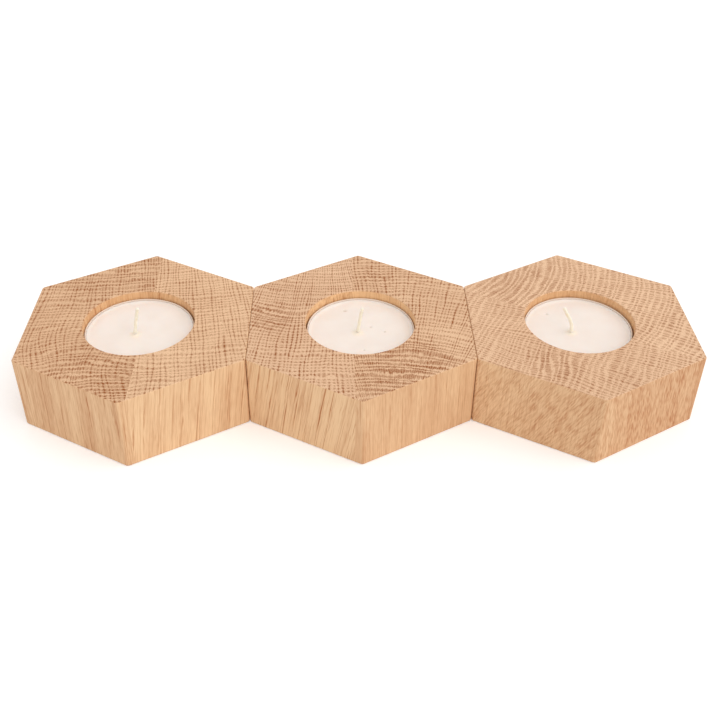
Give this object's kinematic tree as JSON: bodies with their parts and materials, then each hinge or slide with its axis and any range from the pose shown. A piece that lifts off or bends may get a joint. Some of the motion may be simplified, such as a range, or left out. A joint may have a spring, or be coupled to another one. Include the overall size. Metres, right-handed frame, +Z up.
{
  "type": "tealight candle holder",
  "caption": "Row of loose hexagonal oak blocks, end grain up, each with a round recess that holds a tealight in a clear cup; a table decoration for Advent.",
  "frame": {"origin": "on the table, under the middle of the row: the middle block's axis at its underside", "axes": "+X along the row to the right, +Y away from the viewer of the picture, +Z up"},
  "size_m": [0.2402, 0.092, 0.0357],
  "materials": {
    "oak": "sanded, matt, bare or thinly oiled",
    "clear_cup": "clear, glossy",
    "wax": "poured wax, soft satin",
    "wick": "braided cotton, waxed",
    "wick_tab": "stamped, bare"
  },
  "bodies": {
    "middle_block": {"middle_block_wide_stave": "oak", "middle_block_narrow_stave": "oak"},
    "middle_tealight": {"middle_tealight_cup": "clear_cup", "middle_tealight_wax": "wax", "middle_tealight_wick": "wick", "middle_tealight_wick_tab": "wick_tab"},
    "left_block": {"left_block_wide_stave": "oak", "left_block_narrow_stave": "oak"},
    "left_tealight": {"left_tealight_cup": "clear_cup", "left_tealight_wax": "wax", "left_tealight_wick": "wick", "left_tealight_wick_tab": "wick_tab"},
    "right_block": {"right_block_wide_stave": "oak", "right_block_narrow_stave": "oak"},
    "right_tealight": {"right_tealight_cup": "clear_cup", "right_tealight_wax": "wax", "right_tealight_wick": "wick", "right_tealight_wick_tab": "wick_tab"}
  },
  "joints": [
    {"name": "left_block_slide", "type": "slide", "parent": "middle_block", "child": "left_block", "axis": [-1, 0, 0], "range_m": [0, 0.06]},
    {"name": "right_block_slide", "type": "slide", "parent": "middle_block", "child": "right_block", "axis": [1, 0, 0], "range_m": [0, 0.06]},
    {"name": "left_tealight_lift", "type": "slide", "parent": "left_block", "child": "left_tealight", "axis": [0, 0, 1], "range_m": [0, 0.04]},
    {"name": "middle_tealight_lift", "type": "slide", "parent": "middle_block", "child": "middle_tealight", "axis": [0, 0, 1], "range_m": [0, 0.04]},
    {"name": "right_tealight_lift", "type": "slide", "parent": "right_block", "child": "right_tealight", "axis": [0, 0, 1], "range_m": [0, 0.04]}
  ]
}
